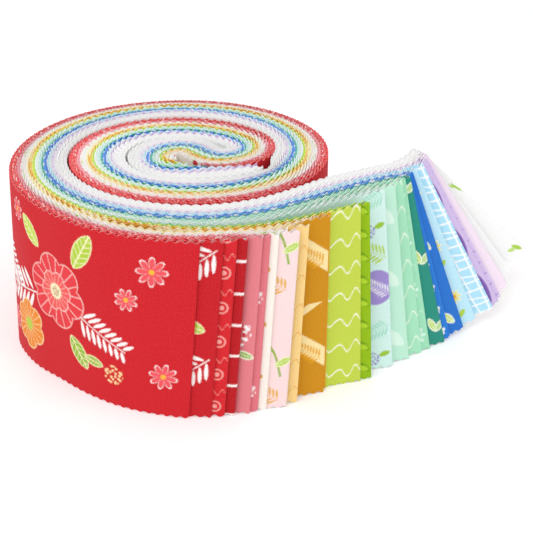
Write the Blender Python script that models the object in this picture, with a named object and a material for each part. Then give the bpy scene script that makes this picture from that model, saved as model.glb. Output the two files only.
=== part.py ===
"""Jelly roll of folded cotton strips: the wound stack and the loose ends of its tail.

Sizes are in millimetres until a mesh is made. The stack of folded strips stands on edge.
Its path is followed from the tip of the tail inward: once round the front, twice round
the roll, and through the S at the middle. Front is the red face of the stack, which is
outermost on the roll, and back is its white face.
"""
import math

import bmesh
import bpy
import numpy as np

STRIP_WIDTH = 63.5
SHEET_THICK = 1.0
SHEET_GAP = 0.4
TURN_GAP = 0.7
HIDDEN_LENGTH = 9.0
STEP_STATION = 146.0
TAIL_END = 4.5
STATION_STEP = 1.0
COIL_STEP = 2.0
SHEET_STEP = 3.0
SMALLEST_CORE_ROOM = 26.0
MM = 0.001

START_X = 109.8
START_Y = 10.9
START_HEADING = -145.5

# One row for each stretch of the path, from the tip of the tail inward.
# Columns: length, bend at its end in 1/m with + to the left, and the most that the stack
# may reach in front of the path and behind it there.
WINDING = (
    (60, 0.8, 9.2, 9.4),
    (20, 2.8, 15.2, 9.4),
    (20, -20.1, 20.6, 9.0),
    (25, -19.6, 16.2, 9.0),
    (40, -18.7, 13.0, 9.0),
    (50, -20.8, 10.8, 9.0),
    (50, -24.4, 9.4, 9.6),
    (50, -23.6, 10.4, 9.0),
    (50, -30.8, 13.0, 9.0),
    (50, -29.9, 13.0, 9.0),
    (40, -49.7, 13.0, 8.0),
    (30, -16.7, 13.0, 7.6),
    (15, -84.0, 13.5, 7.2),
    (12, -116.3, 15.4, 6.8),
    (10, -116.3, 15.0, 6.8),
    (10, 48.9, 11.0, 7.2),
    (12, 116.3, 7.8, 7.4),
    (14, 86.2, 8.0, 7.4),
    (12, 60.0, 8.6, 7.4),
    (12, 4.0, 8.0, 7.2),
    (14, 6.0, 5.6, 6.0),
)
TIP_FRONT = -2.0
TIP_BACK = 10.5

# How the tail fans: one row for each station on the path.
# Columns: station of the foot, how much further in the head is, how far the foot flares
# to the front, and how far it is lifted off the floor.
FAN = (
    (-20, 45.5, 9.0, 15.0),
    (-6, 36.0, 12.0, 12.0),
    (5, 26.1, 16.5, 7.5),
    (11, 24.4, 16.5, 5.5),
    (25, 17.2, 13.5, 2.0),
    (35, 10.0, 12.5, 0.2),
    (46, 3.5, 11.5, 0.0),
    (60, 0.6, 8.0, 0.0),
    (75, 0.3, 3.2, 0.0),
    (88, -0.6, 0.8, 0.0),
    (98, -2.0, -2.0, 0.0),
    (108, -2.6, -2.8, 0.0),
    (126, -4.4, -2.4, 0.0),
    (150, 0.0, -2.4, 0.0),
    (166, 0.0, -1.6, 0.0),
    (176, 0.0, 1.0, 0.0),
    (190, 0.0, 3.2, 0.0),
    (215, 0.0, 1.5, 0.0),
    (240, 0.0, 0.0, 0.0),
)
FAN_EASE = 5
TAIL_LEAVES_ROLL = 70.0
TAIL_LEAVE_LENGTH = 20.0

# One row for each loose end that shows, from the front of the stack to its back.
# Columns: name, station of its fold, how far its face is in front of the path, colour.
LOOSE_ENDS = (
    ("red_floral_end", 125.9, 17.5, (0.65, 0.02, 0.03)),
    ("red_leaf_end", 120.4, 18.5, (0.60, 0.02, 0.03)),
    ("red_scroll_end", 116.2, 19.2, (0.55, 0.01, 0.02)),
    ("pink_flower_end", 110.4, 19.4, (0.75, 0.22, 0.25)),
    ("cream_berry_end", 106.6, 18.6, (0.90, 0.80, 0.74)),
    ("pale_pink_vine_end", 101.5, 18.4, (0.90, 0.72, 0.70)),
    ("pale_yellow_end", 98.0, 18.0, (0.92, 0.66, 0.28)),
    ("mustard_leaf_end", 88.9, 14.6, (0.78, 0.38, 0.01)),
    ("lime_vine_end", 76.1, 14.4, (0.50, 0.70, 0.08)),
    ("dark_lime_end", 71.9, 14.2, (0.30, 0.48, 0.01)),
    ("aqua_flower_end", 60.5, 9.4, (0.66, 0.86, 0.82)),
    ("pale_mint_end", 52.6, 6.8, (0.55, 0.80, 0.70)),
    ("mint_vine_end", 43.8, 4.2, (0.42, 0.75, 0.56)),
    ("teal_end", 34.9, 3.1, (0.02, 0.28, 0.22)),
    ("blue_fleck_end", 31.0, 2.4, (0.03, 0.21, 0.67)),
    ("blue_leaf_end", 25.0, 1.6, (0.05, 0.30, 0.75)),
    ("light_blue_flower_end", 18.9, 0.2, (0.50, 0.76, 0.90)),
    ("light_blue_patch_end", 10.9, -1.6, (0.55, 0.80, 0.92)),
    ("purple_check_end", 6.2, -3.0, (0.30, 0.16, 0.48)),
    ("pale_pink_plain_end", -0.8, -4.0, (0.90, 0.78, 0.88)),
    ("white_dot_end", -6.6, -5.2, (0.92, 0.92, 0.92)),
    ("white_leaf_end", -19.5, -6.8, (0.94, 0.94, 0.93)),
)
SLOPE_AT_FRONT = 0.27
SLOPE_AT_TIP = 0.10
FOLD_ANGLES = (0.0, 30.0, 60.0, 90.0)
COIL_COLOUR = (0.62, 0.02, 0.03)


def eased(values, reach):
    """Values on even stations, smoothed over a window that reaches this many each way."""
    window = np.hanning(2 * reach + 3)[1:-1]
    window = window / window.sum()
    padded = np.pad(values, reach, mode="edge")
    return np.convolve(padded, window, mode="valid")


def winding_path():
    """Stations, points, headings and bends of the path, by summing its bend."""
    lengths = np.array([row[0] for row in WINDING], float)
    ends = np.concatenate([[0.0], np.cumsum(lengths)])
    bends = np.array([0.0] + [row[1] for row in WINDING]) * MM
    stations = np.arange(0.0, ends[-1] + 1e-6, STATION_STEP)
    bend = np.interp(stations, ends, bends)
    turned = np.cumsum(0.5 * (bend[1:] + bend[:-1]) * STATION_STEP)
    heading = math.radians(START_HEADING) + np.concatenate([[0.0], turned])
    middle = 0.5 * (heading[1:] + heading[:-1])
    x = START_X + np.concatenate([[0.0], np.cumsum(np.cos(middle) * STATION_STEP)])
    y = START_Y + np.concatenate([[0.0], np.cumsum(np.sin(middle) * STATION_STEP)])
    return stations, np.stack([x, y], 1), heading, ends


STATIONS, PATH, HEADING, ROW_ENDS = winding_path()
BACKWARD = np.stack([np.sin(HEADING), -np.cos(HEADING)], 1)


def room_on_side(sign):
    """Distance from each station to the next turn on one side, and that turn's share."""
    apart = PATH[None] - PATH[:, None]
    distance = np.hypot(apart[..., 0], apart[..., 1])
    across = (apart * BACKWARD[:, None]).sum(2) * sign
    far_along = np.abs(STATIONS[None] - STATIONS[:, None]) > SMALLEST_CORE_ROOM
    seen = far_along & (across > 0.8 * distance)
    masked = np.where(seen, distance, 1000.0)
    nearest = masked.argmin(1)
    each = np.arange(len(STATIONS))
    faces_back = -(apart * BACKWARD[None]).sum(2)[each, nearest] > 0.0
    return masked.min(1), faces_back


def stack_depths():
    """How far the stack reaches in front of the path and behind it at each station.

    It takes what the table allows, or its share of the room up to the next turn.
    """
    front_rows = np.array([TIP_FRONT] + [row[2] for row in WINDING])
    back_rows = np.array([TIP_BACK] + [row[3] for row in WINDING])
    front = eased(np.interp(STATIONS, ROW_ENDS, front_rows), 8)
    back = eased(np.interp(STATIONS, ROW_ENDS, back_rows), 8)
    room, faces_back = room_on_side(1.0)
    share = np.where(faces_back, 0.5, 0.385)
    back = np.minimum(back, eased(np.minimum((room - TURN_GAP) * share, 30.0), 5))
    room, faces_back = room_on_side(-1.0)
    share = np.where(faces_back, 0.615, 0.5)
    front = np.minimum(front, eased(np.minimum((room - TURN_GAP) * share, 30.0), 5))
    return eased(front, 4), eased(back, 4)


FRONT, BACK = stack_depths()


def point_on_path(station):
    """Point and backward direction at a station, straight on beyond the tip."""
    station = np.asarray(station, float)
    inside = np.clip(station, 0.0, STATIONS[-1])
    x = np.interp(inside, STATIONS, PATH[:, 0])
    y = np.interp(inside, STATIONS, PATH[:, 1])
    turn = np.interp(inside, STATIONS, HEADING)
    extra = station - inside
    point = np.stack([x + extra * np.cos(turn), y + extra * np.sin(turn)], -1)
    backward = np.stack([np.sin(turn), -np.cos(turn)], -1)
    return point, backward


def fan_value(station, column):
    """One column of the fan table at a station, eased."""
    rows = np.array(FAN, float)
    grid = np.arange(rows[0, 0] - 10.0, rows[-1, 0] + 10.0, 1.0)
    return np.interp(station, grid, eased(np.interp(grid, rows[:, 0], rows[:, column]), FAN_EASE))


def flare_share(station, behind):
    """Share of the flare that the stack takes: all of it in the free tail, and on the roll
    all of it at the stack's front and none at its back, which lies on the next turn."""
    front = np.interp(station, STATIONS, FRONT)
    back = np.interp(station, STATIONS, BACK)
    across = np.clip((back - behind) / (front + back), 0.0, 1.0)
    on_roll = np.clip((station - TAIL_LEAVES_ROLL) / TAIL_LEAVE_LENGTH, 0.0, 1.0)
    return 1.0 - on_roll * (1.0 - across)


def rungs(station, behind):
    """Feet and heads of the strips' cross lines at stations, this far behind the path.

    Each cross line keeps the strip's real width, so a head dips as its foot flares.
    """
    station = np.asarray(station, float)
    behind = np.asarray(behind, float)
    shift = fan_value(station, 1)
    flare = fan_value(station, 2) * flare_share(station, behind)
    lift = fan_value(station, 3)
    low, low_back = point_on_path(station)
    high, high_back = point_on_path(station + shift)
    low = low + low_back * (behind - flare)[:, None]
    high = high + high_back * behind[:, None]
    span = np.hypot(*(high - low).T)
    rise = np.sqrt(STRIP_WIDTH ** 2 - span ** 2)
    foot = np.column_stack([low, lift])
    head = np.column_stack([high, lift + rise])
    return foot, head


def ribbon_mesh(name, station, front, back, levels):
    """Closed solid of a stretch of stack between its two faces, on given levels.

    Where front and back meet at an end, the faces share one edge there.
    """
    count = len(station)
    foot_front, head_front = rungs(station, front)
    foot_back, head_back = rungs(station, back)
    mesh = bmesh.new()
    columns = []
    for level in levels:
        front_row = (foot_front + (head_front - foot_front) * level - CENTRE) * MM
        back_row = (foot_back + (head_back - foot_back) * level - CENTRE) * MM
        front_verts = [mesh.verts.new(p) for p in front_row]
        back_verts = []
        for i in range(count):
            if abs(back[i] - front[i]) < 1e-6:
                back_verts.append(front_verts[i])
            else:
                back_verts.append(mesh.verts.new(back_row[i]))
        columns.append((front_verts, back_verts))
    for low, high in zip(columns[:-1], columns[1:]):
        for side in (0, 1):
            for i in range(count - 1):
                mesh.faces.new((low[side][i], low[side][i + 1], high[side][i + 1], high[side][i]))
        for i in (0, count - 1):
            if low[0][i] is not low[1][i]:
                mesh.faces.new((low[0][i], low[1][i], high[1][i], high[0][i]))
    for front_verts, back_verts in (columns[0], columns[-1]):
        for i in range(count - 1):
            corners = [front_verts[i], front_verts[i + 1], back_verts[i + 1], back_verts[i]]
            unique = [v for k, v in enumerate(corners) if v not in corners[:k]]
            mesh.faces.new(unique)
    bmesh.ops.recalc_face_normals(mesh, faces=mesh.faces)
    data = bpy.data.meshes.new(name)
    mesh.to_mesh(data)
    mesh.free()
    made = bpy.data.objects.new(name, data)
    bpy.context.collection.objects.link(made)
    return made


def cotton(name, colour):
    """Plain matt cotton of one colour."""
    made = bpy.data.materials.new(name)
    made.use_nodes = True
    shader = made.node_tree.nodes["Principled BSDF"]
    shader.inputs["Base Color"].default_value = (*colour, 1.0)
    shader.inputs["Roughness"].default_value = 0.85
    return made


def end_slope(station):
    """How fast a loose end leans toward the front of the stack as it runs out."""
    share = np.clip(station / STEP_STATION, 0.0, 1.0)
    return SLOPE_AT_TIP + (SLOPE_AT_FRONT - SLOPE_AT_TIP) * share


def loose_end_plan():
    """Fold, root, face position and slope of each loose end, each clear behind the last."""
    plan = []
    for name, fold, ahead, colour in LOOSE_ENDS:
        behind = -ahead
        root = STEP_STATION - SHEET_GAP
        if not plan:
            step_front = float(np.interp(root, STATIONS, FRONT))
            slope = (ahead - step_front) / (root - fold)
        else:
            slope = float(end_slope(fold))
            last = plan[-1]
            root = min(root, last["fold"] + HIDDEN_LENGTH)
            for station in (last["fold"], root):
                needed = last["behind"] + last["slope"] * (station - last["fold"])
                needed += SHEET_THICK + SHEET_GAP
                behind = max(behind, needed - slope * (station - fold))
        plan.append({"name": name, "fold": fold, "root": root, "behind": behind,
                     "slope": slope, "colour": colour})
    return plan


def loose_end(row):
    """One loose end: a thin sheet that ends in a rounded fold."""
    radius = SHEET_THICK / 2.0
    turn = np.radians(FOLD_ANGLES)
    tip = row["fold"] + radius * (1.0 - np.cos(turn))
    half = radius * np.sin(turn)
    pieces = max(2, int(round((row["root"] - tip[-1]) / SHEET_STEP)))
    body = np.linspace(tip[-1], row["root"], pieces + 1)[1:]
    station = np.concatenate([tip, body])
    half = np.concatenate([half, np.full(len(body), radius)])
    middle = row["behind"] + radius + row["slope"] * (station - row["fold"])
    levels = np.linspace(0.0, 1.0, 5)
    return ribbon_mesh(row["name"], station, middle - half, middle + half, levels)


def coil_faces(plan):
    """Stations and the two faces of the wound stack, stepped back where loose ends lie."""
    last = STATIONS[-1]
    inner_round = 2.2
    turn = np.radians((90.0, 65.0, 40.0, 20.0, 0.0))
    body = np.arange(STEP_STATION, last - inner_round, COIL_STEP)
    close = np.arange(TAIL_END, STEP_STATION - 1.0, COIL_STEP)
    ends = np.array([row["root"] for row in plan])[::-1]
    faces = np.array([row["behind"] + row["slope"] * (row["root"] - row["fold"])
                      for row in plan])[::-1] + SHEET_THICK + SHEET_GAP
    tail_front = np.interp(close, ends, faces)
    tail_front = np.append(tail_front, np.interp(STEP_STATION - 0.3, ends, faces))
    close = np.append(close, STEP_STATION - 0.3)
    tail_back = np.interp(close, STATIONS, BACK)
    body_front = -np.interp(body, STATIONS, FRONT)
    body_back = np.interp(body, STATIONS, BACK)
    tip = last - inner_round + inner_round * np.cos(turn)
    tip_front = -np.interp(tip, STATIONS, FRONT)
    tip_back = np.interp(tip, STATIONS, BACK)
    middle = 0.5 * (tip_front + tip_back)
    half = 0.5 * (tip_back - tip_front) * np.sin(turn)
    station = np.concatenate([close, body, tip])
    front = np.concatenate([tail_front, body_front, middle - half])
    back = np.concatenate([tail_back, body_back, middle + half])
    front[-1] = back[-1]
    return station, front, back


def bottom_centre(plan):
    """Middle of the whole object's outline on the floor."""
    station, front, back = coil_faces(plan)
    points = [*rungs(station, front), *rungs(station, back)]
    for row in plan:
        span = np.linspace(row["fold"], row["root"], 9)
        middle = row["behind"] + row["slope"] * (span - row["fold"])
        points += [*rungs(span, middle), *rungs(span, middle + SHEET_THICK)]
    cloud = np.concatenate(points)
    centre = 0.5 * (cloud.min(0) + cloud.max(0))
    centre[2] = 0.0
    return centre


for old in list(bpy.data.objects):
    bpy.data.objects.remove(old, do_unlink=True)

PLAN = loose_end_plan()
CENTRE = bottom_centre(PLAN)

coil = ribbon_mesh("wound_stack", *coil_faces(PLAN), np.linspace(0.0, 1.0, 3))
coil.data.materials.append(cotton("red_stack_cotton", COIL_COLOUR))
for end in PLAN:
    sheet = loose_end(end)
    sheet.data.materials.append(cotton(end["name"] + "_cotton", end["colour"]))
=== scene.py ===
"""Jelly roll of folded quilting cotton strips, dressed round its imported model.

Forty strips with pinked edges are each folded in half and wound up together. Lengths are
in millimetres until a mesh is made.
"""
import math

import bpy
import numpy as np
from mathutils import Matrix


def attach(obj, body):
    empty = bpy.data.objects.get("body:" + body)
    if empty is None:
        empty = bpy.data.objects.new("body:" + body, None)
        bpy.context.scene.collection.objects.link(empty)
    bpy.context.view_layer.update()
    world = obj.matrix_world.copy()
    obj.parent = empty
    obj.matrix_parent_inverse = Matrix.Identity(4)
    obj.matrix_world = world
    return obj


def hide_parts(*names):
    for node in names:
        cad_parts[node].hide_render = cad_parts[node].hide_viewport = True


bl_info = {
    "name": "Jelly roll of fabric strips",
    "version": (1, 0, 0),
    "blender": (4, 5, 0),
    "location": "3D View > Sidebar > Jelly roll",
    "description": "Makes the folded and wound cotton strips and their plain stage",
    "category": "Add Mesh",
}

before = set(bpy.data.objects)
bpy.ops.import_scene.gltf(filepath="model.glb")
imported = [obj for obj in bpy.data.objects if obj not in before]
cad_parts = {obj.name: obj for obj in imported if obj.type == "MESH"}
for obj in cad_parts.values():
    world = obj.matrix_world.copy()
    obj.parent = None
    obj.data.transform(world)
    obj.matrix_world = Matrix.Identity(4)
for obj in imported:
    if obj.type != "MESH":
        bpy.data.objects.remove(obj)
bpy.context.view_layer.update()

MM = 0.001
CENTRE = np.array([33.1155, -8.2513, 0.0])

# The path: where it starts at the tip of the tail, the least gap between two turns, and how
# far apart along it two points have to be to count as different turns.
START_X = 109.8
START_Y = 10.9
START_HEADING = -145.5
STATION_STEP = 1.0
TURN_GAP = 0.7
SMALLEST_CORE_ROOM = 26.0

# Stations on the path: the stack's depth is held up to the first, the leaning ends have
# merged at the second, strips are kept clear of each other up to the third, and the teeth
# line up at the fourth.
TIGHT_STATION = 146.0
MERGED_STATION = 170.0
SORTED_STATION = 230.0
ALIGNED_STATION = 455.0

# One strip: its width and half its length, the round of its fold and how fast that closes,
# and its layers' thickness and share of the room between its neighbours.
STRIP_WIDTH = 63.5
HALF_LENGTH = 559.0
WIDTH_SPREAD = 0.35
LOOP_RADIUS = 0.5
LOOP_FADE = 4.0
LAYER_THICK = 0.26
LAYER_SHARE = 0.25
LAYER_FILL = 1.85
LEAST_ROOM = 0.1
MOST_ROOM = 1.6
END_RAGGED = 2.0

# The stack: the strip whose back lies on the path, how a leaning end eases into it, and
# the room that each fold takes.
MIDDLE_STRIP = 22
LEAN_POWER = 1.6
LEAN_WAVE = 0.18
MOST_GAP = 0.5
FOLD_ROOM = 0.42
FOLD_REACH = 6.0

# Pinked teeth: columns in each, how far a layer slips, how far it drifts in the outer turn,
# and where that starts and how long it takes.
TOOTH_COLUMNS = 6
TOOTH_SLIP = 0.13
TOOTH_DRIFT = 1.1
DRIFT_STATION = 395.0
DRIFT_LENGTH = 150.0
SHARP_ANGLE = 34.0

# One row for each stretch of the path, from the tip of the tail inward.
# Columns: length, bend at its end in 1/m with + to the left, and the most that the stack
# may reach in front of the path and behind it there.
WINDING = (
    (60, 0.8, 9.2, 9.4),
    (20, 2.8, 15.2, 9.4),
    (20, -20.1, 20.6, 9.0),
    (25, -19.6, 16.2, 9.0),
    (40, -18.7, 13.0, 9.0),
    (50, -20.8, 10.8, 9.0),
    (50, -24.4, 9.4, 9.6),
    (50, -23.6, 10.4, 9.0),
    (50, -30.8, 13.0, 9.0),
    (50, -29.9, 13.0, 9.0),
    (40, -48.1, 13.0, 8.0),
    (30, -31.7, 12.6, 7.6),
    (15, -47.9, 12.2, 6.4),
    (12, -149.8, 12.6, 5.2),
    (10, -153.2, 13.5, 5.2),
    (10, 113.1, 11.0, 6.4),
    (12, 102.4, 8.2, 7.4),
    (14, 70.5, 8.0, 7.4),
    (12, 76.9, 8.6, 7.4),
    (12, 10.0, 8.0, 7.2),
    (18, 14.0, 7.0, 6.0),
)
TIP_FRONT = -2.0
TIP_BACK = 10.5

# How the tail fans: one row for each station on the path.
# Columns: station of the foot, how much further in the head is, how far the foot flares
# to the front, and how far it is lifted off the floor.
FAN = (
    (-20, 45.5, 9.0, 15.0),
    (-6, 36.0, 12.0, 12.0),
    (5, 26.1, 16.5, 7.5),
    (11, 24.4, 16.5, 5.5),
    (25, 17.2, 13.5, 2.0),
    (35, 10.0, 12.5, 0.2),
    (46, 3.5, 11.5, 0.0),
    (60, 0.6, 8.0, 0.0),
    (75, 0.3, 3.2, 0.0),
    (88, -0.6, 0.8, 0.0),
    (98, -2.0, -2.0, 0.0),
    (108, -2.6, -2.8, 0.0),
    (126, -4.4, -2.4, 0.0),
    (150, 0.0, -2.4, 0.0),
    (166, 0.0, -1.6, 0.0),
    (176, 0.0, 1.0, 0.0),
    (190, 0.0, 3.2, 0.0),
    (215, 0.0, 1.5, 0.0),
    (240, 0.0, 0.0, 0.0),
)
FAN_EASE = 5
TAIL_LEAVES_ROLL = 70.0
TAIL_LEAVE_LENGTH = 20.0

# Where the strips end in the middle of the roll. Columns: last strip of a run, station.
INNER_ENDS = (
    (5, 518), (7, 523), (10, 563), (12, 566), (14, 569), (16, 572), (20, 577), (24, 582),
    (27, 590), (40, 600),
)

# Reach of the stack in front of the path in the middle of the roll, where the reds swing
# wide round the hook and the creams fill the lobe. Columns: station, reach.
INNER_FRONT = (
    (500, 12.2), (508, 11.0), (518, 10.6), (526, 8.6), (536, 8.4), (548, 9.2), (560, 9.4),
    (572, 8.0), (584, 4.0), (596, 2.5),
)
SPREAD_STATION = 560.0
SPREAD_LENGTH = 22.0

# One row for each strip, from the front of the stack to its back.
# Columns: name, station of its fold, how far it lies in front of the path there, print,
# ground colour, and the node that it stands for besides the wound stack.
STRIPS = (
    ("red_garden_strip", 125.9, 17.0, "garden", "C91A25", "red_floral_end"),
    ("red_sprig_strip", 120.4, 17.2, "sprig", "C11722", "red_leaf_end"),
    ("red_ring_strip", 117.2, 18.4, "ring", "CF2029", "red_scroll_end"),
    ("red_lattice_strip", 114.6, 18.6, "lattice", "B4121C", None),
    ("red_inner_strip", 116.0, 17.6, "speckle", "D0303A", None),
    ("pink_cluster_strip", 110.8, 18.6, "cluster", "DC7C84", "pink_flower_end"),
    ("pink_plain_strip", 108.8, 18.4, "small_cluster", "D8747E", None),
    ("cream_berry_strip", 106.6, 18.2, "berry", "F3EAE0", "cream_berry_end"),
    ("pale_pink_vine_strip", 101.5, 18.0, "vine", "F2D6D6", "pale_pink_vine_end"),
    ("cream_inner_strip", 104.0, 17.0, "speckle", "F2E6D8", None),
    ("peach_inner_strip", 103.5, 16.5, "speckle", "F3D5C0", None),
    ("pale_yellow_strip", 98.2, 17.6, "ochre_curl", "F6D08A", "pale_yellow_end"),
    ("mustard_band_strip", 89.2, 14.2, "band", "C98A10", "mustard_leaf_end"),
    ("mustard_plain_strip", 88.0, 13.6, "speckle", "D9960F", None),
    ("lime_curl_strip", 75.5, 14.0, "pale_curl", "BFD04A", "lime_vine_end"),
    ("dark_lime_strip", 71.4, 13.8, "mottle", "8FB60C", "dark_lime_end"),
    ("aqua_fern_strip", 60.5, 9.0, "fern", "CFECE6", "aqua_flower_end"),
    ("pale_mint_strip", 52.6, 6.6, "tone_leaf", "BCE6D0", "pale_mint_end"),
    ("mint_curl_strip", 46.0, 4.6, "pale_curl", "A4DEBC", "mint_vine_end"),
    ("mint_daisy_strip", 42.0, 3.6, "tone_daisy", "9EDBB8", None),
    ("teal_bud_strip", 34.9, 2.6, "bud", "2A8C7B", "teal_end"),
    ("blue_fleck_strip", 31.6, 1.9, "fleck", "2A7AD2", "blue_fleck_end"),
    ("blue_leaf_strip", 25.1, 1.1, "blue_leaf", "2870C8", "blue_leaf_end"),
    ("dark_blue_strip", 27.0, 0.6, "speckle", "2560B2", None),
    ("sky_daisy_strip", 18.9, -0.2, "yellow_daisy", "BCE4F5", "light_blue_flower_end"),
    ("sky_inner_strip", 20.4, -0.7, "speckle", "8CC8EC", None),
    ("sky_tile_strip", 10.9, -1.9, "tile", "ADDDF4", "light_blue_patch_end"),
    ("purple_sliver_strip", 7.4, -2.6, "sliver", "CDB8E0", "purple_check_end"),
    ("lavender_brick_strip", 5.2, -3.2, "brick", "D3C0E6", None),
    ("lavender_inner_strip", 6.6, -3.9, "speckle", "C9B4DE", None),
    ("pale_pink_strip", -0.8, -4.5, "speckle", "F4E0EF", "pale_pink_plain_end"),
    ("blush_inner_strip", 0.6, -5.0, "speckle", "F0E0F0", None),
    ("white_inner_strip", 0.2, -5.5, "white_sprig", "F6F4F6", None),
    ("white_dot_strip", -6.4, -5.9, "white_sprig", "F7F7F7", "white_dot_end"),
    ("white_second_strip", -5.0, -6.3, "white_sprig", "F7F6F4", None),
    ("white_third_strip", -5.4, -6.7, "white_sprig", "F8F7F5", None),
    ("white_fourth_strip", -5.8, -7.1, "white_sprig", "F6F6F6", None),
    ("white_leaf_strip", -19.5, -7.6, "white_leaf", "F8F8F7", "white_leaf_end"),
    ("white_fifth_strip", -18.0, -8.0, "white_sprig", "F7F7F7", None),
    ("white_last_strip", -18.6, -8.4, "white_sprig", "F8F8F8", None),
)

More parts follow.
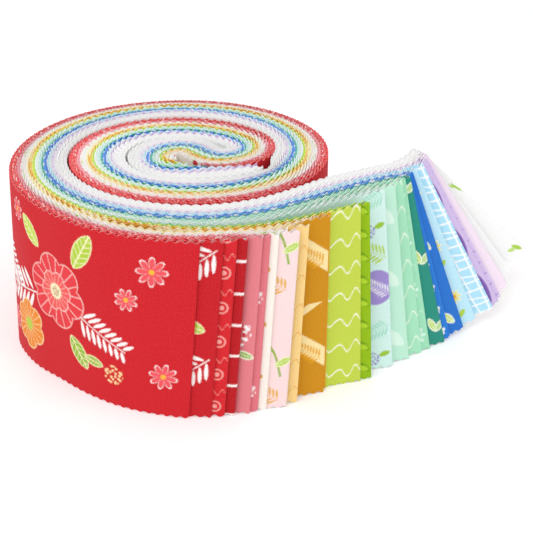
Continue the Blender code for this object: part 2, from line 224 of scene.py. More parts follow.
# Prints. A repeat has its length and height, and one row for each motif in it.
# Columns: motif, place along and up, turn in degrees, size, fill and line colours.
PRINTS = {
    "garden": ((112, 63.5), (
        ("leaf", 42, 47, 118, 15, "AECB3E", "F3EDBE"),
        ("leaf", 60, 48, 40, 13, "BBD34A", "F3EDBE"),
        ("leaf", 44, 21, 235, 13, "8DB52F", "F3EDBE"),
        ("spray", 62, 30, -12, 27, "FBF6F2", None),
        ("spray", 40, 30, 205, 20, "FBF6F2", None),
        ("blossom", 51, 35, 12, 13.5, "E03A42", "F5C6BE"),
        ("blossom", 51, 35, 48, 7.6, "EA5A58", "F5C6BE"),
        ("disc", 51, 35, 0, 2.9, "F8E6BC", None),
        ("blossom", 68, 15, 20, 9.6, "E9892F", "FBE3B0"),
        ("disc", 68, 15, 0, 2.4, "B8CC4A", None),
        ("berries", 51, 35, 0, 1.8, "8A5A20", None),
        ("daisy", 14, 52, 0, 5.2, "E8545C", "FBF6F2"),
        ("disc", 14, 52, 0, 0.9, "F0B43C", None),
        ("daisy", 22, 41, 20, 4.0, "E8545C", "FBF6F2"),
        ("disc", 22, 41, 0, 0.8, "F0B43C", None),
        ("daisy", 9, 15, 12, 4.8, "E8545C", "FBF6F2"),
        ("disc", 9, 15, 0, 0.9, "F0B43C", None),
        ("berries", 26, 12, 0, 3.6, "F6D9A0", None),
        ("leaf", 30, 14, 10, 8, "8DB52F", "F3EDBE"),
        ("blossom", 96, 47, 30, 8.6, "DE343E", "F5C6BE"),
        ("disc", 96, 47, 0, 2.2, "F3A62C", None),
        ("leaf", 100, 37, 260, 11, "AECB3E", "F3EDBE"),
        ("spray", 90, 38, 215, 20, "FBF6F2", None),
        ("daisy", 80, 12, 5, 4.4, "E8545C", "FBF6F2"),
        ("disc", 80, 12, 0, 0.8, "F0B43C", None),
        ("berries", 97, 9, 0, 4.2, "F6C27A", None),
        ("daisy", 75, 56, 30, 4.0, "E8545C", "FBF6F2"),
        ("disc", 75, 56, 0, 0.8, "F0B43C", None),
    )),
    "sprig": ((34, 38), (
        ("spray", 2, 22, -38, 20, "FBF6F2", None),
        ("leaf", 4, 32, 20, 10, "A8C93A", "F3EDBE"),
        ("leaf", 20, 6, 150, 9, "BBD34A", "F3EDBE"),
        ("daisy", 26, 30, 10, 4.2, "E8545C", "FBF6F2"),
    )),
    "ring": ((9, 12), (
        ("ring", 3.5, 4, 0, 2.2, "F2A8A0", None),
        ("disc", 3.5, 4, 0, 0.8, "F2A8A0", None),
        ("curl", 0.5, 9.4, 0, 8, "F2A8A0", None),
    )),
    "lattice": ((8, 11), (
        ("bar", 4, 0.6, 0, 0.9, "F7E9E6", None),
        ("bar", 6.8, 5, 90, 0.9, "F7E9E6", None),
    )),
    "cluster": ((26, 44), (
        ("berries", 7, 30, 0, 5.4, "FBF6F2", None),
        ("berries", 7, 30, 40, 4.0, "D22C3A", None),
        ("leaf", 6, 23, 200, 6, "7FAE2B", "F6F2E0"),
        ("leaf", 16, 8, 60, 7, "8DB52F", "F6F2E0"),
        ("ring", 18, 14, 0, 1.6, "FBF6F2", None),
    )),
    "small_cluster": ((18, 34), (
        ("berries", 5, 8, 0, 3.8, "FBF6F2", None),
        ("ring", 6, 24, 0, 1.4, "FBF6F2", None),
    )),
    "berry": ((16, 19), (
        ("disc", 4, 5, 0, 1.1, "C9303C", None),
        ("disc", 3, 13, 0, 0.9, "D8A23A", None),
        ("leaf", 5, 6, 50, 4, "8DB52F", None),
    )),
    "vine": ((30, 40), (
        ("stem", 3, 12, 62, 18, "8DAF3A", None),
        ("leaf", 7, 22, 20, 8, "93B83A", "EAF0C0"),
        ("leaf", 5, 16, 150, 6, "A8C93A", "EAF0C0"),
        ("disc", 9, 31, 0, 1.5, "D23A4A", None),
        ("spray", 3, 3, 32, 11, "E0A83A", None),
        ("berries", 14, 35, 0, 2.6, "D23A4A", None),
    )),
    "ochre_curl": ((12, 10), (
        ("curl", 0.5, 5, 8, 10, "E0A238", None),
    )),
    "band": ((30, 34), (
        ("bar", 6, 18, 38, 5.5, "F6DDA2", None),
        ("bar", 6, 33, -30, 2.4, "F6DDA2", None),
        ("spray", 2, 13, 38, 10, "E2A11B", None),
    )),
    "pale_curl": ((17, 9.4), (
        ("curl", 0.6, 4.6, 3, 15, "F4FAE2", None),
        ("disc", 15.8, 6.4, 0, 0.5, "F4FAE2", None),
    )),
    "mottle": ((7, 8), (
        ("leaf", 1, 3, 40, 5.5, "6F9A08", None),
        ("leaf", 5, 5, 200, 4, "A9CC2A", None),
    )),
    "fern": ((34, 46), (
        ("disc", 5, 30, 0, 6.2, "9C88CC", None),
        ("spray", 0.5, 27, 35, 9, "E8E4F6", None),
        ("spray", 1, 40, 28, 12, "B2CF4A", None),
        ("spray", 1, 16, -20, 11, "A2DCC6", None),
        ("berries", 7, 4, 0, 2.4, "8C74C4", None),
        ("leaf", 9, 5, 20, 4, "9BC23A", None),
        ("leaf", 5, 5, 165, 4, "9BC23A", None),
    )),
    "tone_leaf": ((18, 22), (
        ("leaf", 2, 6, 40, 10, "D8F2E2", None),
        ("blossom", 12, 16, 0, 3.4, "D8F2E2", None),
    )),
    "tone_daisy": ((15, 17), (
        ("daisy", 5, 6, 0, 3.6, "D2F0E0", None),
        ("curl", 1, 14, 0, 9, "D2F0E0", None),
    )),
    "bud": ((22, 26), (
        ("leaf", 3, 5, 70, 6, "B2D24A", "F4F8E8"),
        ("leaf", 3, 5, 130, 5, "8FC24A", "F4F8E8"),
        ("ring", 8, 18, 0, 1.3, "F4F8E8", None),
    )),
    "fleck": ((6.5, 8.5), (
        ("fleck", 3, 3.5, 20, 1.5, "F4F8FC", None),
    )),
    "blue_leaf": ((24, 30), (
        ("leaf", 3, 4, 50, 7, "C2D84A", "F4F8FC"),
        ("berries", 8, 18, 0, 2.8, "F4F8FC", None),
    )),
    "yellow_daisy": ((17, 21), (
        ("daisy", 5, 12, 0, 2.9, "F5E06A", "FDFBE8"),
        ("disc", 5, 12, 0, 0.8, "E8A83A", None),
        ("daisy", 10, 5, 20, 2.2, "F5E06A", "FDFBE8"),
        ("leaf", 3, 6, 320, 4, "B2D24A", None),
    )),
    "tile": ((8.4, 9.6), (
        ("bar", 4, 0.6, 0, 0.7, "FAFDFF", None),
        ("bar", 4, 4.2, 0, 0.6, "FAFDFF", None),
        ("bar", 4, 6.6, 12, 0.6, "FAFDFF", None),
        ("bar", 1.6, 4, 90, 0.7, "FAFDFF", None),
        ("bar", 5.9, 4, 84, 0.6, "FAFDFF", None),
    )),
    "sliver": ((9, 21), (
        ("sliver", 3, 1.5, 84, 17, "7E5CA8", None),
    )),
    "brick": ((7, 5), (
        ("sliver", 0.8, 2.4, 0, 5.4, "A88CCB", None),
    )),
    "speckle": ((23, 27), (
        ("berries", 8, 9, 0, 3.2, "FAF7F4", None),
        ("leaf", 15, 18, 60, 5, "FAF7F4", None),
    )),
    "white_sprig": ((21, 26), (
        ("leaf", 4, 8, 40, 4, "E6EEDC", None),
        ("disc", 14, 18, 0, 0.8, "F0DCE6", None),
    )),
    "white_leaf": ((30, 40), (
        ("leaf", 2, 3, 60, 5, "A8D04A", None),
        ("leaf", 4, 5, 10, 4, "BEDC7A", None),
    )),
}

# Printed lines and their soft edge, the threads' spacing, how strongly their grain shades
# the cloth, and the painted light on the cut edges: how much brighter they are painted to
# lighten the shade between the layers' tops.
LINE_WIDTH = 0.4
SOFT_EDGE = 0.14
THREAD_SPACING = 0.42
THREAD_SHADE = 1.1
RIM_PAINTED_LIGHT = 0.9


def eased(values, reach):
    """Values on even stations, averaged over a bell-shaped window of this reach."""
    window = np.hanning(2 * reach + 3)[1:-1]
    padded = np.pad(values, reach, mode="edge")
    return np.convolve(padded, window / window.sum(), mode="valid")


def winding_path():
    """Points and headings of the path: its heading is the running sum of its bend."""
    lengths = np.array([row[0] for row in WINDING], float)
    ends = np.concatenate([[0.0], np.cumsum(lengths)])
    bends = np.array([0.0] + [row[1] for row in WINDING]) * MM
    stations = np.arange(0.0, ends[-1] + 1e-6, STATION_STEP)
    bend = np.interp(stations, ends, bends)
    turned = np.cumsum(0.5 * (bend[1:] + bend[:-1]) * STATION_STEP)
    heading = math.radians(START_HEADING) + np.concatenate([[0.0], turned])
    middle = 0.5 * (heading[1:] + heading[:-1])
    x = START_X + np.concatenate([[0.0], np.cumsum(np.cos(middle) * STATION_STEP)])
    y = START_Y + np.concatenate([[0.0], np.cumsum(np.sin(middle) * STATION_STEP)])
    return stations, np.stack([x, y], 1), heading, ends


STATIONS, PATH, HEADING, ROW_ENDS = winding_path()
BACKWARD = np.stack([np.sin(HEADING), -np.cos(HEADING)], 1)


def room_on_side(sign):
    """Distance from each station to the next turn on one side, and which face it shows."""
    apart = PATH[None] - PATH[:, None]
    distance = np.hypot(apart[..., 0], apart[..., 1])
    across = (apart * BACKWARD[:, None]).sum(2) * sign
    far_along = np.abs(STATIONS[None] - STATIONS[:, None]) > SMALLEST_CORE_ROOM
    masked = np.where(far_along & (across > 0.8 * distance), distance, 1000.0)
    nearest = masked.argmin(1)
    each = np.arange(len(STATIONS))
    return masked.min(1), -(apart * BACKWARD[None]).sum(2)[each, nearest] > 0.0


def stack_depths():
    """Reach of the stack to each side: the table's value, or its share of the room if that
    is less, and in the middle of the roll the measured reach in front."""
    front_rows = np.array([TIP_FRONT] + [row[2] for row in WINDING])
    back_rows = np.array([TIP_BACK] + [row[3] for row in WINDING])
    front = eased(np.interp(STATIONS, ROW_ENDS, front_rows), 8)
    back = eased(np.interp(STATIONS, ROW_ENDS, back_rows), 8)
    room, faces_back = room_on_side(1.0)
    share = np.where(faces_back, 0.5, 0.385)
    back = np.minimum(back, eased(np.minimum((room - TURN_GAP) * share, 30.0), 5))
    room, faces_back = room_on_side(-1.0)
    share = np.where(faces_back, 0.615, 0.5)
    front = np.minimum(front, eased(np.minimum((room - TURN_GAP) * share, 30.0), 5))
    inner = np.array(INNER_FRONT)
    measured = np.interp(STATIONS, inner[:, 0], inner[:, 1])
    front = np.where(STATIONS < inner[0, 0], front, measured)
    return eased(front, 4), eased(back, 4)


FRONT, BACK = stack_depths()


def point_on_path(station):
    """Point and backward direction at a station, straight on beyond the tip."""
    inside = np.clip(station, 0.0, STATIONS[-1])
    x = np.interp(inside, STATIONS, PATH[:, 0])
    y = np.interp(inside, STATIONS, PATH[:, 1])
    turn = np.interp(inside, STATIONS, HEADING)
    extra = station - inside
    point = np.stack([x + extra * np.cos(turn), y + extra * np.sin(turn)], -1)
    return point, np.stack([np.sin(turn), -np.cos(turn)], -1)


def fan_value(station, column):
    """One column of the fan table at a station, eased."""
    rows = np.array(FAN, float)
    grid = np.arange(rows[0, 0] - 10.0, rows[-1, 0] + 10.0, 1.0)
    return np.interp(station, grid, eased(np.interp(grid, rows[:, 0], rows[:, column]), FAN_EASE))


def flare_share(station, behind):
    """Share of the flare: all of it in the free tail, and on the roll it falls evenly from
    all of it at the stack's front to none at its back."""
    front = np.interp(station, STATIONS, FRONT)
    back = np.interp(station, STATIONS, BACK)
    across = np.clip((back - behind) / (front + back), 0.0, 1.0)
    on_roll = np.clip((station - TAIL_LEAVES_ROLL) / TAIL_LEAVE_LENGTH, 0.0, 1.0)
    return 1.0 - on_roll * (1.0 - across)


def rungs(station, behind, width):
    """Feet and heads of the cross lines: the head rises by what is left of the width
    after the foot's flare and the head's shift, so each line keeps the real width."""
    low, low_back = point_on_path(station)
    high, high_back = point_on_path(station + fan_value(station, 1))
    flare = fan_value(station, 2) * flare_share(station, behind)
    low = low + low_back * (behind - flare)[:, None]
    high = high + high_back * behind[:, None]
    lift = fan_value(station, 3)
    rise = np.sqrt(width ** 2 - ((high - low) ** 2).sum(1))
    return np.column_stack([low, lift]), np.column_stack([high, lift + rise])


GRID = np.arange(-24.0, STATIONS[-1] + 0.25, 0.5)


def inner_end(number):
    """Station where a strip ends in the middle of the roll."""
    return next(station for last, station in INNER_ENDS if number <= last)


def wound_places():
    """Places in the wound part: the strips that are still there share the depth evenly.

    They share it on each side of the path, and near the middle of the roll over the
    whole depth, so that the last strips fill it.
    """
    count = len(STRIPS)
    ends = np.array([inner_end(n) for n in range(1, count + 1)], float)[:, None]
    there = (GRID[None] <= ends).astype(float)
    front = np.interp(np.maximum(GRID, TIGHT_STATION), STATIONS, FRONT)
    back = np.interp(GRID, STATIONS, BACK)
    ahead = there[:MIDDLE_STRIP]
    from_path = np.cumsum(ahead[::-1], axis=0)[::-1] - 0.5 * ahead
    in_front = -front * from_path / np.maximum(ahead.sum(0), 1.0)
    after = there[MIDDLE_STRIP:]
    behind = back * (np.cumsum(after, axis=0) - 0.5 * after) / np.maximum(after.sum(0), 1.0)
    pinned = np.concatenate([in_front, behind])
    rank = (np.cumsum(there, axis=0) - 0.5 * there) / np.maximum(there.sum(0), 1.0)
    even = -front + (front + back) * rank
    share = np.clip((GRID - SPREAD_STATION) / SPREAD_LENGTH, 0.0, 1.0)
    places = pinned + (even - pinned) * share * share * (3.0 - 2.0 * share)
    return np.array([eased(row, 8) for row in places]), front, back


def strip_places():
    """How far behind the path each strip lies at every station of GRID.

    Toward its fold a strip leans out from its wound place to its own place, and each one
    stays clear of the strip in front of it.
    """
    wound, front, back = wound_places()
    rng = np.random.default_rng(7)
    places = []
    for number, row in enumerate(STRIPS, 1):
        fold, ahead = row[1], row[2]
        base = wound[number - 1]
        run = np.clip((GRID - fold) / (MERGED_STATION - fold), 0.0, 1.0)
        lean = -ahead - np.interp(fold, GRID, base)
        place = base + lean * (1.0 - run) ** LEAN_POWER
        wave = LEAN_WAVE * np.sin(GRID / rng.uniform(5.0, 9.0) + rng.uniform(0.0, 6.3))
        place = place + wave * (1.0 - run) ** 2
        if places:
            last, last_fold = places[-1], STRIPS[number - 2][1]
            if number <= MIDDLE_STRIP:
                gap = np.minimum(front / MIDDLE_STRIP, MOST_GAP)
            else:
                gap = np.minimum(back / (len(STRIPS) - MIDDLE_STRIP), MOST_GAP)
            gap = gap + FOLD_ROOM * np.exp(-np.abs(GRID - last_fold) / FOLD_REACH)
            gap = gap + FOLD_ROOM * np.exp(-np.abs(GRID - fold) / FOLD_REACH)
            short = np.maximum(last + gap - place, 0.0)
            short = np.where(GRID < SORTED_STATION, short, 0.0)
            start = int(np.searchsorted(GRID, max(last_fold, fold)))
            before = np.exp(-(GRID[start] - GRID[:start]) / FOLD_REACH) * short[start]
            place = place + np.concatenate([before, short[start:]])
        places.append(eased(place, 5))
    return np.array(places)


PLACES = strip_places()


def half_strip(number, side, column_step):
    """Stations, places and outward directions of one half, from the fold inward.

    The gap between the halves is half a circle at the fold, then narrows like a drop.
    Columns are even along the cloth: their stations come from the running length.
    """
    fold = STRIPS[number][1]
    place = PLACES[number]
    ends = inner_end(number + 1) + END_RAGGED * math.sin(7.3 * number)
    turn = np.radians((0.0, 22.5, 45.0, 67.5))
    fine = np.arange(fold + LOOP_RADIUS, ends, 0.5)
    inward = fine - fold
    near = neighbour_room(number)
    close = np.interp(fine, GRID, near) * LAYER_SHARE
    open_half = close + (LOOP_RADIUS - close) * np.exp(-(inward - LOOP_RADIUS) / LOOP_FADE)
    behind = np.interp(fine, GRID, place) + side * open_half
    foot, head = rungs(fine, behind, STRIP_WIDTH)
    middle = 0.5 * (foot + head)
    along = np.concatenate([[0.0], np.cumsum(np.linalg.norm(np.diff(middle, axis=0), axis=1))])
    steps = np.arange(0.0, min(along[-1], HALF_LENGTH - 1.0), column_step)
    station = np.interp(steps, along, fine)
    behind = np.interp(steps, along, behind)
    loop_station = fold + LOOP_RADIUS * (1.0 - np.cos(turn))
    loop_behind = np.interp(loop_station, GRID, place) + side * LOOP_RADIUS * np.sin(turn)
    outward = np.column_stack([-np.cos(turn), side * np.sin(turn)])
    flat = np.column_stack([np.zeros(len(station)), np.full(len(station), float(side))])
    thick = LAYER_FILL * np.interp(station, GRID, near) * LAYER_SHARE
    thick = np.minimum(LAYER_THICK, thick)
    thick = np.concatenate([np.full(4, thick[0]), thick])
    return (np.concatenate([loop_station, station]), np.concatenate([loop_behind, behind]),
            np.concatenate([outward, flat]), thick)


def neighbour_room(number):
    """Room that a strip has between its two neighbours, at every station."""
    before = PLACES[max(number - 1, 0)]
    after = PLACES[min(number + 1, len(PLACES) - 1)]
    parts = min(number + 1, len(PLACES) - 1) - max(number - 1, 0)
    return np.clip((after - before) / parts, LEAST_ROOM, MOST_ROOM)


def tooth(length, pitch, depth):
    """Depth of the pinked edge's cut: a triangle wave with softened points."""
    phase = (length / pitch) % 1.0
    ridge = np.abs(2.0 * phase - 1.0)
    return depth * (0.75 * ridge + 0.25 * (0.5 - 0.5 * np.cos(math.pi * ridge)))


def strip_mesh(name, number, sizes):
    """Closed sheet of one folded strip with its pinked edges and its cloth UV map.

    Its section is a hairpin line given a thickness. Each column is a straight cross line
    of the strip, cut at both ends by the pinking, and the UV map holds metres along the
    cloth from the fold and metres up from its lower edge.
    """
    pitch = sizes.pinking_pitch / MM
    depth = sizes.pinking_depth / MM
    width = sizes.strip_width / MM
    rng = np.random.default_rng(100 + number)
    width -= rng.uniform(0.0, WIDTH_SPREAD)
    step = pitch / TOOTH_COLUMNS
    front = half_strip(number, -1, step)
    back = half_strip(number, 1, step)
    tip = len(front[0]) - 1
    station, behind, outward, thick = (
        np.concatenate([a[::-1], b[1:]]) for a, b in zip(front, back))
    shell = []
    for sign in (0.5, -0.5):
        push = outward * (sign * thick)[:, None]
        shell.append(rungs(station + push[:, 0], behind + push[:, 1], STRIP_WIDTH))
    centre = rungs(station, behind, STRIP_WIDTH)
    along = []
    for line in centre:
        run = np.concatenate([[0.0], np.cumsum(np.linalg.norm(np.diff(line, axis=0), axis=1))])
        along.append(run - run[tip])
    aligned = np.zeros(len(station))
    middle = 0.5 * (along[0] + along[1])
    first = slice(None, tip + 1)
    second = slice(tip, None)
    order = np.argsort(station[first])
    at_front = np.interp(ALIGNED_STATION, station[first][order], middle[first][order])
    order = np.argsort(station[second])
    at_back = np.interp(ALIGNED_STATION, station[second][order], middle[second][order])
    slip = rng.normal(0.0, TOOTH_SLIP, 2)
    drift = rng.normal(0.0, TOOTH_DRIFT, 2)
    away = np.clip((DRIFT_STATION - station) / DRIFT_LENGTH, 0.0, 1.0)
    aligned[first] = at_front + slip[0] + drift[0] * away[first]
    aligned[tip + 1:] = at_back + slip[1] + drift[1] * away[tip + 1:]
    low_cut = tooth(along[0] - aligned, pitch, depth)
    high_cut = width - tooth(along[1] - aligned + 0.5 * pitch, pitch, depth)
    heights = np.stack([low_cut, high_cut, high_cut, low_cut], 1)
    corners = np.empty((len(station), 4, 3))
    for corner, face in enumerate((0, 0, 1, 1)):
        foot, head = shell[face]
        corners[:, corner] = foot + (head - foot) * (heights[:, corner] / STRIP_WIDTH)[:, None]
    points = ((corners - CENTRE) * MM).reshape(-1, 3)
    count = len(station)
    k = np.arange(count - 1)[:, None]
    j = np.arange(4)[None]
    quads = np.stack([4 * k + j, 4 * k + 4 + j, 4 * k + 4 + (j + 1) % 4, 4 * k + (j + 1) % 4], -1)
    caps = np.array([[0, 1, 2, 3], [4 * count - 1, 4 * count - 2, 4 * count - 3, 4 * count - 4]])
    quads = np.concatenate([quads.reshape(-1, 4), caps])
    side = np.concatenate([np.tile([0.0, 0.5, 1.0, 0.5], count - 1), [0.5, 0.5]])
    a, b, c, d = (points[quads[:, n]] for n in range(4))
    volume = (a * np.cross(b, c)).sum() + (a * np.cross(c, d)).sum()
    if volume < 0.0:
        quads = quads[:, ::-1]
    run = np.stack([along[0], along[1], along[1], along[0]], 1)
    cloth = np.stack([-run, heights], -1).reshape(-1, 2) * MM
    mesh = bpy.data.meshes.new(name)
    mesh.vertices.add(len(points))
    mesh.vertices.foreach_set("co", points.ravel())
    mesh.loops.add(quads.size)
    mesh.loops.foreach_set("vertex_index", quads.ravel().astype(np.int32))
    mesh.polygons.add(len(quads))
    mesh.polygons.foreach_set("loop_start", np.arange(0, quads.size, 4, dtype=np.int32))
    mesh.update(calc_edges=True)
    mesh.uv_layers.new(name="cloth").data.foreach_set("uv", cloth[quads.ravel()].ravel())
    mesh.attributes.new("side", "FLOAT", "FACE").data.foreach_set("value", side)
    mesh.polygons.foreach_set("use_smooth", np.ones(len(quads), bool))
    mesh.set_sharp_from_angle(angle=math.radians(SHARP_ANGLE))
    mesh.validate()
    made = bpy.data.objects.new(name, mesh)
    bpy.context.collection.objects.link(made)
    return made


def linear(code):
    """sRGB hex colour as linear RGBA."""
    values = [int(code[n:n + 2], 16) / 255.0 for n in (0, 2, 4)]
    return tuple(v / 12.92 if v <= 0.04045 else ((v + 0.055) / 1.055) ** 2.4 for v in values) + (1.0,)


def put(tree, kind, inputs=(), **settings):
    """Adds a node with its settings and links, and gives its first live output.

    A kind in capitals is an operation of the Math node.
    """
    if kind.isupper():
        kind, settings["operation"] = "ShaderNodeMath", kind
    made = tree.nodes.new(kind)
    for key, value in settings.items():
        setattr(made, key, value)
    for socket, value in zip([s for s in made.inputs if s.enabled], inputs):
        if isinstance(value, bpy.types.NodeSocket):
            tree.links.new(value, socket)
        elif value is not None:
            socket.default_value = value
    return next(s for s in made.outputs if s.enabled)


def motif(kind):
    """Node group that gives the distance outside a motif's outline, and its veins.

    The point comes in units of the motif's size, so the outline is of size one.
    """
    if "motif_" + kind in bpy.data.node_groups:
        return bpy.data.node_groups["motif_" + kind]
    tree = bpy.data.node_groups.new("motif_" + kind, "ShaderNodeTree")
    tree.interface.new_socket("Point", in_out="INPUT", socket_type="NodeSocketVector")
    tree.interface.new_socket("Distance", in_out="OUTPUT", socket_type="NodeSocketFloat")
    tree.interface.new_socket("Vein", in_out="OUTPUT", socket_type="NodeSocketFloat")
    point = put(tree, "NodeGroupInput")
    split = put(tree, "ShaderNodeSeparateXYZ", (point,)).node
    x, y = split.outputs[0], split.outputs[1]
    wide = put(tree, "ABSOLUTE", (y,))
    round_off = put(tree, "ShaderNodeVectorMath", (point,), operation="LENGTH")
    vein = 1.0
    before = put(tree, "MULTIPLY", (x, -1.0))
    after = put(tree, "SUBTRACT", (x, 1.0))
    beyond = put(tree, "MAXIMUM", (before, after))
    share = put(tree, "ADD", (x, 0.0), use_clamp=True)
    bulge = put(tree, "MULTIPLY", (share, put(tree, "SUBTRACT", (1.0, share))))
    if kind in ("blossom", "daisy", "fleck"):
        petals, notch = {"blossom": (6, 0.2), "daisy": (8, 0.72), "fleck": (3, 0.75)}[kind]
        angle = put(tree, "ARCTAN2", (y, x))
        lobe = put(tree, "COSINE", (put(tree, "MULTIPLY", (angle, petals / 2)),))
        lobe = put(tree, "POWER", (put(tree, "ABSOLUTE", (lobe,)), 0.7))
        edge = put(tree, "MULTIPLY_ADD", (lobe, notch, 1.0 - notch))
        distance = put(tree, "SUBTRACT", (round_off, edge))
        ray = put(tree, "SINE", (put(tree, "MULTIPLY", (angle, petals * 1.5)),))
        ray = put(tree, "ABSOLUTE", (ray,))
        vein = put(tree, "SUBTRACT", (put(tree, "MULTIPLY", (ray, round_off)), 0.11))
        if kind != "blossom":
            vein = 1.0
    elif kind == "leaf":
        edge = put(tree, "MULTIPLY", (put(tree, "POWER", (bulge, 0.7)), 0.62))
        distance = put(tree, "SUBTRACT", (wide, edge))
        distance = put(tree, "MAXIMUM", (distance, beyond))
        slant = put(tree, "MULTIPLY_ADD", (wide, -0.9, x))
        rib = put(tree, "PINGPONG", (slant, 0.08))
        vein = put(tree, "SUBTRACT", (wide, 0.018))
        vein = put(tree, "MINIMUM", (vein, put(tree, "SUBTRACT", (rib, 0.012))))
    elif kind == "spray":
        slant = put(tree, "MULTIPLY_ADD", (wide, -0.7, x))
        cell = put(tree, "PINGPONG", (slant, 0.062))
        cell = put(tree, "SUBTRACT", (0.062, cell))
        reach = put(tree, "MULTIPLY_ADD", (share, -0.13, 0.3))
        up = put(tree, "DIVIDE", (put(tree, "SUBTRACT", (wide, 0.025)), reach), use_clamp=True)
        fat = put(tree, "MULTIPLY", (up, put(tree, "SUBTRACT", (1.0, up))))
        fat = put(tree, "MULTIPLY", (put(tree, "POWER", (fat, 0.6)), 0.1))
        blade = put(tree, "SUBTRACT", (cell, fat))
        blade = put(tree, "MAXIMUM", (blade, put(tree, "MULTIPLY", (slant, -1.0))))
        blade = put(tree, "ADD", (blade, 0.004))
        blade = put(tree, "MAXIMUM", (blade, put(tree, "SUBTRACT", (slant, 1.0))))
        stalk = put(tree, "MAXIMUM", (put(tree, "SUBTRACT", (wide, 0.009)), beyond))
        distance = put(tree, "MINIMUM", (blade, stalk))
    elif kind == "berries":
        cells = put(tree, "ShaderNodeTexVoronoi", (point, 2.6), voronoi_dimensions="2D")
        grain = put(tree, "MULTIPLY", (put(tree, "SUBTRACT", (cells, 0.34)), 0.38))
        distance = put(tree, "MAXIMUM", (grain, put(tree, "SUBTRACT", (round_off, 1.0))))
    elif kind == "disc":
        distance = put(tree, "SUBTRACT", (round_off, 1.0))
    elif kind == "ring":
        rim = put(tree, "ABSOLUTE", (put(tree, "SUBTRACT", (round_off, 0.85)),))
        distance = put(tree, "SUBTRACT", (rim, 0.11))
    elif kind == "bar":
        distance = put(tree, "SUBTRACT", (wide, 0.5))
    elif kind == "sliver":
        edge = put(tree, "MULTIPLY", (put(tree, "POWER", (bulge, 1.0)), 0.5))
        distance = put(tree, "MAXIMUM", (put(tree, "SUBTRACT", (wide, edge)), beyond))
    else:
        turns, high, slim = {"curl": (5.0, 0.1, 0.018), "stem": (1.0, 0.08, 0.02)}[kind]
        wave = put(tree, "SINE", (put(tree, "MULTIPLY", (x, turns * math.pi)),))
        tall = put(tree, "SINE", (put(tree, "MULTIPLY", (x, turns * 1.7)),))
        wave = put(tree, "MULTIPLY", (wave, put(tree, "MULTIPLY_ADD", (tall, high * 0.5, high))))
        off = put(tree, "ABSOLUTE", (put(tree, "SUBTRACT", (y, wave)),))
        distance = put(tree, "MAXIMUM", (put(tree, "SUBTRACT", (off, slim)), beyond))
    ends = tree.nodes.new("NodeGroupOutput")
    tree.links.new(distance, ends.inputs[0])
    if isinstance(vein, bpy.types.NodeSocket):
        tree.links.new(vein, ends.inputs[1])
    else:
        ends.inputs[1].default_value = vein
    return tree


VEINED = ("leaf", "blossom")


def printed_colour(tree, place, print_name, ground):
    """Colour of a print: each motif of the repeat is laid over what is under it."""
    (long, high), rows = PRINTS[print_name]
    warp = put(tree, "ShaderNodeTexNoise", (place, None, 0.22), noise_dimensions="2D").node
    wander = put(tree, "ShaderNodeVectorMath", (warp.outputs["Color"], (0.5, 0.5, 0.5)),
                 operation="SUBTRACT")
    wander = put(tree, "ShaderNodeVectorMath", (wander, (1.1, 1.1, 0.0), place),
                 operation="MULTIPLY_ADD")
    cell = put(tree, "ShaderNodeVectorMath", (wander, (long, high, 1.0), (0.0, 0.0, 0.0)),
               operation="WRAP")
    colour = linear(ground)
    for kind, along, up, turn, size, fill, line in rows:
        local = put(tree, "ShaderNodeMapping",
                    (cell, (along, up, 0.0), (0.0, 0.0, math.radians(turn)), (size, size, 1.0)),
                    vector_type="TEXTURE")
        shape = put(tree, "ShaderNodeGroup", (local,), node_tree=motif(kind)).node
        distance = shape.outputs[0]
        inside = put(tree, "MULTIPLY_ADD", (distance, -size / SOFT_EDGE, 0.5), use_clamp=True)
        if fill:
            colour = put(tree, "ShaderNodeMix", (inside, colour, linear(fill)), data_type="RGBA")
        if line:
            rim = put(tree, "ABSOLUTE", (put(tree, "ADD", (distance, 0.5 * LINE_WIDTH / size)),))
            ink = put(tree, "MULTIPLY_ADD",
                      (rim, -size / SOFT_EDGE, 0.5 + 0.5 * LINE_WIDTH / SOFT_EDGE), use_clamp=True)
            if kind in VEINED:
                vein = put(tree, "MULTIPLY_ADD", (shape.outputs[1], -size / SOFT_EDGE, 0.5),
                           use_clamp=True)
                vein = put(tree, "MULTIPLY", (vein, inside))
                ink = put(tree, "MAXIMUM", (ink, vein))
            colour = put(tree, "ShaderNodeMix", (ink, colour, linear(line)), data_type="RGBA")
    return colour


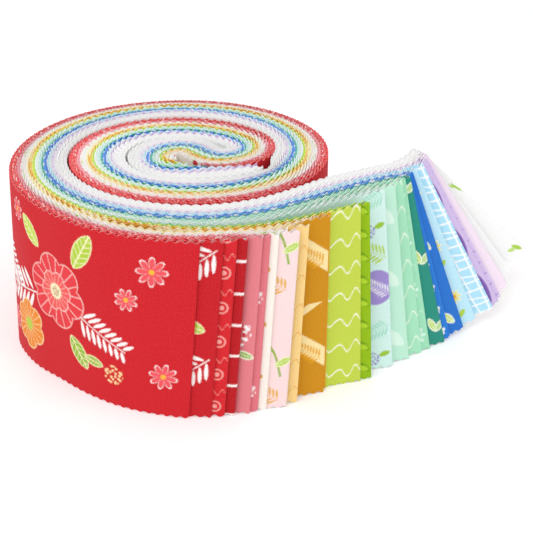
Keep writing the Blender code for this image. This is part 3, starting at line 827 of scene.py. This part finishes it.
def quilting_cotton(name, print_name, ground):
    """Printed plain-weave quilting cotton: matt, with a faint fuzz and a fine thread grain.

    The reverse is the same cloth before printing, so it is paler, and cut edges show
    pale fibre between flecks of the print. The cut edges are also painted brighter, a painted
    light against the shade between the layers. Threads lie about 0.37 mm apart on the real
    cloth and are drawn a little coarser, so that they show.
    """
    made = bpy.data.materials.new(name)
    made.use_nodes = True
    tree = made.node_tree
    shader = tree.nodes["Principled BSDF"]
    cloth = put(tree, "ShaderNodeUVMap", uv_map="cloth")
    place = put(tree, "ShaderNodeVectorMath", (cloth, (1.0 / MM,) * 3), operation="MULTIPLY")
    colour = printed_colour(tree, place, print_name, ground)
    threads = put(tree, "ShaderNodeVectorMath", (place, (2 * math.pi / THREAD_SPACING,) * 3),
                  operation="MULTIPLY")
    split = put(tree, "ShaderNodeSeparateXYZ", (threads,)).node
    along = put(tree, "SINE", (split.outputs[0],))
    up = put(tree, "SINE", (split.outputs[1],))
    weave = put(tree, "MULTIPLY", (along, up))
    slub = put(tree, "ShaderNodeTexNoise", (place, None, 1.3, 3.0, 0.7), noise_dimensions="2D")
    grain = put(tree, "MULTIPLY_ADD", (weave, 0.07, put(tree, "MULTIPLY_ADD", (slub, 0.5, -0.25))))
    shade = put(tree, "MULTIPLY_ADD", (grain, THREAD_SHADE, 1.0))
    shade = put(tree, "ShaderNodeCombineXYZ", (shade, shade, shade))
    colour = put(tree, "ShaderNodeVectorMath", (colour, shade), operation="MULTIPLY")
    pale = put(tree, "MULTIPLY_ADD", (grain, 0.35, -0.01), use_clamp=True)
    colour = put(tree, "ShaderNodeMix", (pale, colour, linear("FBF8F6")), data_type="RGBA")
    side = put(tree, "ShaderNodeAttribute", attribute_name="side").node.outputs["Fac"]
    tufts = put(tree, "ShaderNodeTexNoise", (place, None, 0.45, 2.0, 0.6), noise_dimensions="2D")
    tufts = put(tree, "MULTIPLY_ADD", (tufts, 6.0, -3.1), use_clamp=True)
    # Painted light: the cut edges, where side is 0.5, are painted up to 1.9 times brighter and capped
    # at 0.92, to lighten the shade between the layers' tops.
    rim = put(tree, "ABSOLUTE", (put(tree, "MULTIPLY_ADD", (side, 2.0, -1.0)),))
    lift = put(tree, "MULTIPLY_ADD", (rim, -RIM_PAINTED_LIGHT, 1.0 + RIM_PAINTED_LIGHT))
    lift = put(tree, "ShaderNodeCombineXYZ", (lift, lift, lift))
    colour = put(tree, "ShaderNodeVectorMath", (colour, lift), operation="MULTIPLY")
    colour = put(tree, "ShaderNodeVectorMath", (colour, (0.92, 0.92, 0.92)), operation="MINIMUM")
    fade = put(tree, "MULTIPLY", (side, put(tree, "MULTIPLY_ADD", (tufts, 0.7, 0.12))))
    colour = put(tree, "ShaderNodeMix", (fade, colour, linear("F7F4F0")), data_type="RGBA")
    tree.links.new(colour, shader.inputs["Base Color"])
    shader.inputs["Roughness"].default_value = 0.88
    shader.inputs["Specular IOR Level"].default_value = 0.15
    shader.inputs["Sheen Weight"].default_value = 0.05
    shader.inputs["Sheen Roughness"].default_value = 0.5
    bump = tree.nodes.new("ShaderNodeBump")
    bump.inputs["Strength"].default_value = 0.35
    bump.inputs["Distance"].default_value = 0.00006
    tree.links.new(put(tree, "MULTIPLY_ADD", (weave, 0.5, slub)), bump.inputs["Height"])
    tree.links.new(bump.outputs[0], shader.inputs["Normal"])
    return made


def make_strips(first, last, sizes):
    """Makes the strips from first up to last, attaches each to the root body and hides the imported
    parts that it replaces.
    """
    for number in range(first, last):
        name, _, _, print_name, ground, node = STRIPS[number]
        strip = strip_mesh(name, number, sizes)
        strip.data.materials.append(quilting_cotton(name + "_quilting_cotton", print_name, ground))
        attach(strip, "root")
        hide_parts("wound_stack", *([node] if node else []))


class JellyRollSizes(bpy.types.PropertyGroup):
    """Sizes and colours of the strips and the stage that a user would change."""

    strip_width: bpy.props.FloatProperty(
        name="Strip width", description="Width of a strip from tooth tip to tooth tip",
        default=0.0635, unit="LENGTH")
    pinking_pitch: bpy.props.FloatProperty(
        name="Pinking pitch", description="Distance between two teeth of the cut edge",
        default=0.003, unit="LENGTH")
    pinking_depth: bpy.props.FloatProperty(
        name="Pinking depth", description="Depth of the teeth of the cut edge",
        default=0.0009, unit="LENGTH")
    floor_colour: bpy.props.FloatVectorProperty(
        name="Floor colour", description="Colour of the plain floor", size=3,
        default=(0.93, 0.93, 0.93), subtype="COLOR")
    key_power: bpy.props.FloatProperty(
        name="Key light", description="Power of the large soft light", default=5.0, unit="POWER")


class JELLY_ROLL_OT_warm_strips(bpy.types.Operator):
    """Makes the red, pink, cream and yellow strips"""

    bl_idname = "jelly_roll.warm_strips"
    bl_label = "Red to yellow strips"

    def execute(self, context):
        make_strips(0, 14, context.scene.jelly_roll)
        return {"FINISHED"}


class JELLY_ROLL_OT_cool_strips(bpy.types.Operator):
    """Makes the green and blue strips"""

    bl_idname = "jelly_roll.cool_strips"
    bl_label = "Lime to blue strips"

    def execute(self, context):
        make_strips(14, 27, context.scene.jelly_roll)
        return {"FINISHED"}


class JELLY_ROLL_OT_pale_strips(bpy.types.Operator):
    """Makes the lavender, pale pink and white strips"""

    bl_idname = "jelly_roll.pale_strips"
    bl_label = "Lavender to white strips"

    def execute(self, context):
        make_strips(27, 40, context.scene.jelly_roll)
        return {"FINISHED"}


def area_light(name, place, target, size, power):
    """Square soft light at a place, turned to a target."""
    lamp = bpy.data.lights.new(name, "AREA")
    lamp.size = size
    lamp.energy = power
    made = bpy.data.objects.new(name, lamp)
    made.location = place
    ahead = np.array(target) - np.array(place)
    flat = math.hypot(ahead[0], ahead[1])
    made.rotation_euler = (math.atan2(flat, -ahead[2]), 0.0, math.atan2(-ahead[0], ahead[1]))
    bpy.context.collection.objects.link(made)


class JELLY_ROLL_OT_stage(bpy.types.Operator):
    """Makes the pale floor, the soft light and the camera"""

    bl_idname = "jelly_roll.stage"
    bl_label = "Stage"

    def execute(self, context):
        sizes = context.scene.jelly_roll
        half = 4.0
        mesh = bpy.data.meshes.new("pale_floor")
        mesh.from_pydata([(-half, -half, 0), (half, -half, 0), (half, half, 0), (-half, half, 0)],
                         [], [(0, 1, 2, 3)])
        floor = bpy.data.objects.new("pale_floor", mesh)
        bpy.context.collection.objects.link(floor)
        paint = bpy.data.materials.new("matt_white_board")
        paint.use_nodes = True
        shader = paint.node_tree.nodes["Principled BSDF"]
        shader.inputs["Base Color"].default_value = (*sizes.floor_colour, 1.0)
        shader.inputs["Roughness"].default_value = 0.9
        shader.inputs["Emission Color"].default_value = (1.0, 1.0, 1.0, 1.0)
        shader.inputs["Emission Strength"].default_value = 0.2
        mesh.materials.append(paint)
        world = bpy.data.worlds.new("soft_studio")
        context.scene.world = world
        world.use_nodes = True
        world.node_tree.nodes["Background"].inputs[0].default_value = (1.0, 1.0, 1.0, 1.0)
        world.node_tree.nodes["Background"].inputs[1].default_value = 0.72
        area_light("key_light", (-0.45, -0.7, 0.9), (0.0, 0.0, 0.03), 0.8, sizes.key_power)
        area_light("fill_light", (0.8, -0.5, 0.6), (0.0, 0.0, 0.03), 0.8, 0.4 * sizes.key_power)
        lens = bpy.data.cameras.new("camera")
        lens.sensor_width = 36.0
        lens.lens = 75.92
        lens.clip_start = 0.01
        camera = bpy.data.objects.new("camera", lens)
        camera.location = (-0.005581, -0.351593, 0.204663)
        camera.rotation_euler = (math.radians(62.67), 0.0, 0.0)
        bpy.context.collection.objects.link(camera)
        context.scene.camera = camera
        context.scene.view_settings.view_transform = "Standard"
        return {"FINISHED"}


class JELLY_ROLL_PT_panel(bpy.types.Panel):
    """Lists the sizes and the steps that make the roll"""

    bl_label = "Jelly roll"
    bl_idname = "JELLY_ROLL_PT_panel"
    bl_space_type = "VIEW_3D"
    bl_region_type = "UI"
    bl_category = "Jelly roll"

    def draw(self, context):
        sizes = context.scene.jelly_roll
        for key in ("strip_width", "pinking_pitch", "pinking_depth", "floor_colour", "key_power"):
            self.layout.prop(sizes, key)
        for step in STEPS:
            self.layout.operator(step.bl_idname)


STEPS = (JELLY_ROLL_OT_warm_strips, JELLY_ROLL_OT_cool_strips, JELLY_ROLL_OT_pale_strips,
         JELLY_ROLL_OT_stage)
CLASSES = (JellyRollSizes, *STEPS, JELLY_ROLL_PT_panel)


def register():
    """Registers the classes and the scene's sizes."""
    for each in CLASSES:
        bpy.utils.register_class(each)
    bpy.types.Scene.jelly_roll = bpy.props.PointerProperty(type=JellyRollSizes)


def unregister():
    """Takes the sizes and the classes away again."""
    del bpy.types.Scene.jelly_roll
    for each in reversed(CLASSES):
        bpy.utils.unregister_class(each)


def main():
    """Makes the roll and its stage."""
    register()
    for step in STEPS:
        group, action = step.bl_idname.split(".")
        getattr(getattr(bpy.ops, group), action)()


if __name__ == "__main__":
    main()
